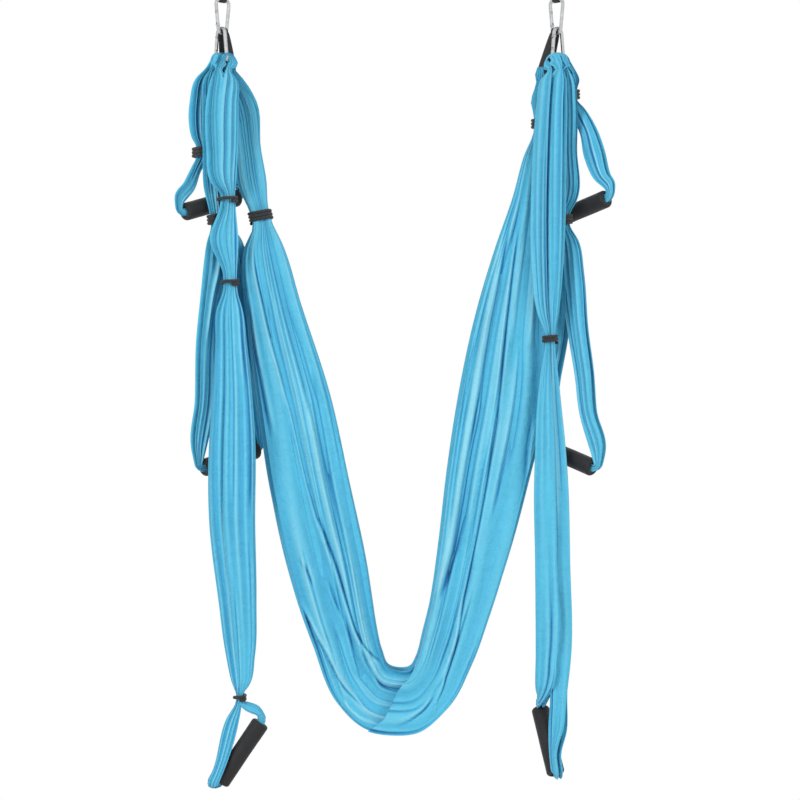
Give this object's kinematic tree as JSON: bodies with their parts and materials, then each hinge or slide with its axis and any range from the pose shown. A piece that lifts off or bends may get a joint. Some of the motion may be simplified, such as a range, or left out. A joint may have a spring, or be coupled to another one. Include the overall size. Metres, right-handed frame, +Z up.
{
  "type": "aerial hammock",
  "caption": "Aerial yoga hammock: a gathered cloth loop on two ceiling straps, with short, medium and long foam-grip handle loops on each side.",
  "frame": {"origin": "top seat of the left ceiling strap's eye, where it rests on its hook", "axes": "+X from the left hook to the right hook, +Z up, +Y away from the viewer"},
  "size_m": [0.807, 0.183, 1.6024],
  "materials": {
    "carabiner_steel": "satin",
    "pin_steel": "satin",
    "spring_steel": "satin",
    "webbing": "matte",
    "blue_cloth": "soft sheen",
    "grip_foam": "matte",
    "grip_core": "matte",
    "binding_cord": "matte"
  },
  "bodies": {
    "ceiling_straps": {"strap_left": "webbing", "strap_right": "webbing"},
    "hanging_set": {"hammock_cloth": "blue_cloth", "hammock_left_band": "binding_cord", "hammock_right_band": "binding_cord", "upper_carabiner_left": "carabiner_steel", "upper_rivet_left": "pin_steel", "lower_carabiner_left": "carabiner_steel", "lower_rivet_left": "pin_steel", "sling_left": "webbing", "upper_carabiner_right": "carabiner_steel", "upper_rivet_right": "pin_steel", "lower_carabiner_right": "carabiner_steel", "lower_rivet_right": "pin_steel", "sling_right": "webbing"},
    "upper_gate_left_set": {"upper_gate_left": "carabiner_steel", "upper_plunger_left": "pin_steel", "upper_spring_left": "spring_steel"},
    "lower_gate_left_set": {"lower_gate_left": "carabiner_steel", "lower_plunger_left": "pin_steel", "lower_spring_left": "spring_steel"},
    "upper_gate_right_set": {"upper_gate_right": "carabiner_steel", "upper_plunger_right": "pin_steel", "upper_spring_right": "spring_steel"},
    "lower_gate_right_set": {"lower_gate_right": "carabiner_steel", "lower_plunger_right": "pin_steel", "lower_spring_right": "spring_steel"},
    "left_short_handle": {"left_short_loop": "blue_cloth", "left_short_band": "binding_cord"},
    "left_short_grip_set": {"left_short_grip": "grip_foam", "left_short_core": "grip_core"},
    "left_medium_handle": {"left_medium_loop": "blue_cloth", "left_medium_band": "binding_cord"},
    "left_medium_grip_set": {"left_medium_grip": "grip_foam", "left_medium_core": "grip_core"},
    "left_long_handle": {"left_long_loop": "blue_cloth", "left_long_upper_band": "binding_cord", "left_long_middle_band": "binding_cord", "left_long_lower_band": "binding_cord"},
    "left_long_grip_set": {"left_long_grip": "grip_foam", "left_long_core": "grip_core"},
    "right_short_handle": {"right_short_loop": "blue_cloth", "right_short_band": "binding_cord"},
    "right_short_grip_set": {"right_short_grip": "grip_foam", "right_short_core": "grip_core"},
    "right_medium_handle": {"right_medium_loop": "blue_cloth", "right_medium_band": "binding_cord"},
    "right_medium_grip_set": {"right_medium_grip": "grip_foam", "right_medium_core": "grip_core"},
    "right_long_handle": {"right_long_loop": "blue_cloth", "right_long_band": "binding_cord"},
    "right_long_grip_set": {"right_long_grip": "grip_foam", "right_long_core": "grip_core"}
  },
  "joints": [
    {"name": "hammock_swing", "type": "hinge", "parent": "ceiling_straps", "child": "hanging_set", "pos_m": [0.309, 0, -0.1462], "axis": [1, 0, 0], "range_deg": [-50, 50], "deforming": ["strap_left", "strap_right"]},
    {"name": "upper_gate_left_hinge", "type": "hinge", "parent": "hanging_set", "child": "upper_gate_left_set", "pos_m": [-0.00793, -0.00793, -0.1932], "axis": [-0.7071, 0.7071, 0], "range_deg": [0, 25], "stiffness_Nm_per_rad": 0.05},
    {"name": "lower_gate_left_hinge", "type": "hinge", "parent": "hanging_set", "child": "lower_gate_left_set", "pos_m": [-0.01012, 0.00573, -0.2155], "axis": [-0.7071, -0.7071, 0], "range_deg": [0, 25], "stiffness_Nm_per_rad": 0.05},
    {"name": "upper_gate_right_hinge", "type": "hinge", "parent": "hanging_set", "child": "upper_gate_right_set", "pos_m": [0.61007, 0.00793, -0.1932], "axis": [0.7071, 0.7071, 0], "range_deg": [0, 25], "stiffness_Nm_per_rad": 0.05},
    {"name": "lower_gate_right_hinge", "type": "hinge", "parent": "hanging_set", "child": "lower_gate_right_set", "pos_m": [0.61227, -0.01012, -0.2155], "axis": [0.7071, -0.7071, 0], "range_deg": [0, 25], "stiffness_Nm_per_rad": 0.05},
    {"name": "left_short_swing", "type": "hinge", "parent": "hanging_set", "child": "left_short_handle", "pos_m": [-0.00219, -0.00219, -0.2625], "axis": [-0.7071, 0.7071, 0], "range_deg": [0, 60]},
    {"name": "left_short_grip_spin", "type": "hinge", "parent": "left_short_handle", "child": "left_short_grip_set", "pos_m": [-0.0222, 0.01428, -0.52451], "axis": [-0.6843, -0.6843, -0.2517], "continuous": true},
    {"name": "left_medium_swing", "type": "hinge", "parent": "hanging_set", "child": "left_medium_handle", "pos_m": [-0.00219, -0.00219, -0.2625], "axis": [-0.7071, 0.7071, 0], "range_deg": [0, 60]},
    {"name": "left_medium_grip_spin", "type": "hinge", "parent": "left_medium_handle", "child": "left_medium_grip_set", "pos_m": [0.01379, 0.00785, -0.99569], "axis": [-0.6868, -0.6868, -0.238], "continuous": true},
    {"name": "left_long_swing", "type": "hinge", "parent": "hanging_set", "child": "left_long_handle", "pos_m": [-0.00219, -0.00219, -0.2625], "axis": [-0.7071, 0.7071, 0], "range_deg": [0, 60]},
    {"name": "left_long_grip_spin", "type": "hinge", "parent": "left_long_handle", "child": "left_long_grip_set", "pos_m": [0.03543, -0.03246, -1.53485], "axis": [-0.5595, 0, -0.8288], "continuous": true},
    {"name": "right_short_swing", "type": "hinge", "parent": "hanging_set", "child": "right_short_handle", "pos_m": [0.62019, -0.00219, -0.2625], "axis": [-0.7071, -0.7071, 0], "range_deg": [0, 60]},
    {"name": "right_short_grip_spin", "type": "hinge", "parent": "right_short_handle", "child": "right_short_grip_set", "pos_m": [0.66333, 0.01831, -0.53355], "axis": [0.6823, -0.6823, 0.2624], "continuous": true},
    {"name": "right_medium_swing", "type": "hinge", "parent": "hanging_set", "child": "right_medium_handle", "pos_m": [0.62019, -0.00219, -0.2625], "axis": [-0.7071, -0.7071, 0], "range_deg": [0, 60]},
    {"name": "right_medium_grip_spin", "type": "hinge", "parent": "right_medium_handle", "child": "right_medium_grip_set", "pos_m": [0.63716, 0.00064, -0.99131], "axis": [0.6758, -0.6758, -0.294], "continuous": true},
    {"name": "right_long_swing", "type": "hinge", "parent": "hanging_set", "child": "right_long_handle", "pos_m": [0.62019, -0.00219, -0.2625], "axis": [-0.7071, -0.7071, 0], "range_deg": [0, 60]},
    {"name": "right_long_grip_spin", "type": "hinge", "parent": "right_long_handle", "child": "right_long_grip_set", "pos_m": [0.5999, -0.03917, -1.51215], "axis": [0.1862, -0.5276, -0.8288], "continuous": true}
  ]
}
